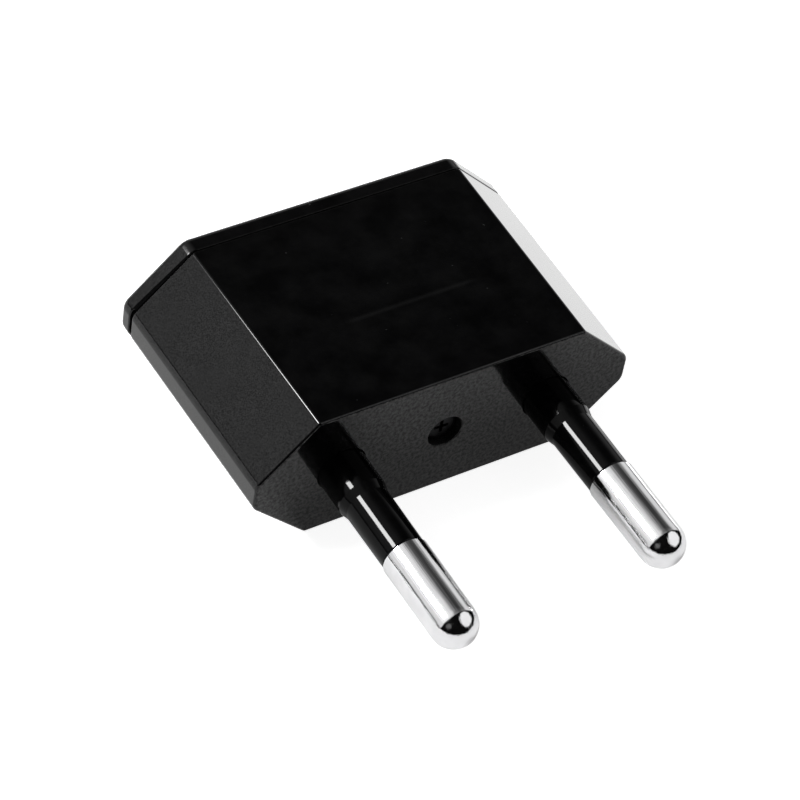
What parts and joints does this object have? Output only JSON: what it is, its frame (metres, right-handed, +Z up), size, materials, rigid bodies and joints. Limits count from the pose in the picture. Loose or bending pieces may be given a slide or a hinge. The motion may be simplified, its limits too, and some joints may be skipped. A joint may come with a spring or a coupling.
{
  "type": "travel plug adapter",
  "caption": "Flat bevelled plug adapter with round insulated pins in front, a flat-blade socket behind and sprung contact strips inside.",
  "frame": {"origin": "middle of the pin face, halfway between the two pins", "axes": "+X to the right seen from the pins' side, +Y from the pin face to the socket face, +Z up, out of a broad face"},
  "size_m": [0.0352, 0.0412, 0.0128],
  "materials": {
    "housing_plastic": "black, polished on the broad faces and fine-grained on the pin face, bevels and sides",
    "cover_plastic": "black, a little less polished than the housing",
    "sleeve_plastic": "black, smooth and glossy",
    "pin_nickel": "bright nickel plate",
    "contact_bronze": "plain spring bronze",
    "screw_steel": "blackened steel"
  },
  "bodies": {
    "case": {"housing": "housing_plastic", "rear_cover": "cover_plastic", "cover_screw": "screw_steel", "left_pin": "pin_nickel", "left_pin_sleeve": "sleeve_plastic", "left_inner_contact_foot": "contact_bronze", "left_outer_contact_foot": "contact_bronze", "right_pin": "pin_nickel", "right_pin_sleeve": "sleeve_plastic", "right_inner_contact_foot": "contact_bronze", "right_outer_contact_foot": "contact_bronze"},
    "left_inner_leaf": {"left_inner_contact_leaf": "contact_bronze"},
    "left_outer_leaf": {"left_outer_contact_leaf": "contact_bronze"},
    "right_inner_leaf": {"right_inner_contact_leaf": "contact_bronze"},
    "right_outer_leaf": {"right_outer_contact_leaf": "contact_bronze"}
  },
  "joints": [
    {"name": "left_inner_leaf_flex", "type": "hinge", "parent": "case", "child": "left_inner_leaf", "pos_m": [-0.0053, 0.00462, 0], "axis": [0, 0, -1], "range_deg": [0, 3.5], "stiffness_Nm_per_rad": 1},
    {"name": "left_outer_leaf_flex", "type": "hinge", "parent": "case", "child": "left_outer_leaf", "pos_m": [-0.0074, 0.00502, 0], "axis": [0, 0, 1], "range_deg": [0, 3.5], "stiffness_Nm_per_rad": 1},
    {"name": "right_inner_leaf_flex", "type": "hinge", "parent": "case", "child": "right_inner_leaf", "pos_m": [0.0053, 0.00462, 0], "axis": [0, 0, 1], "range_deg": [0, 3.5], "stiffness_Nm_per_rad": 1},
    {"name": "right_outer_leaf_flex", "type": "hinge", "parent": "case", "child": "right_outer_leaf", "pos_m": [0.0074, 0.00502, 0], "axis": [0, 0, -1], "range_deg": [0, 3.5], "stiffness_Nm_per_rad": 1}
  ]
}
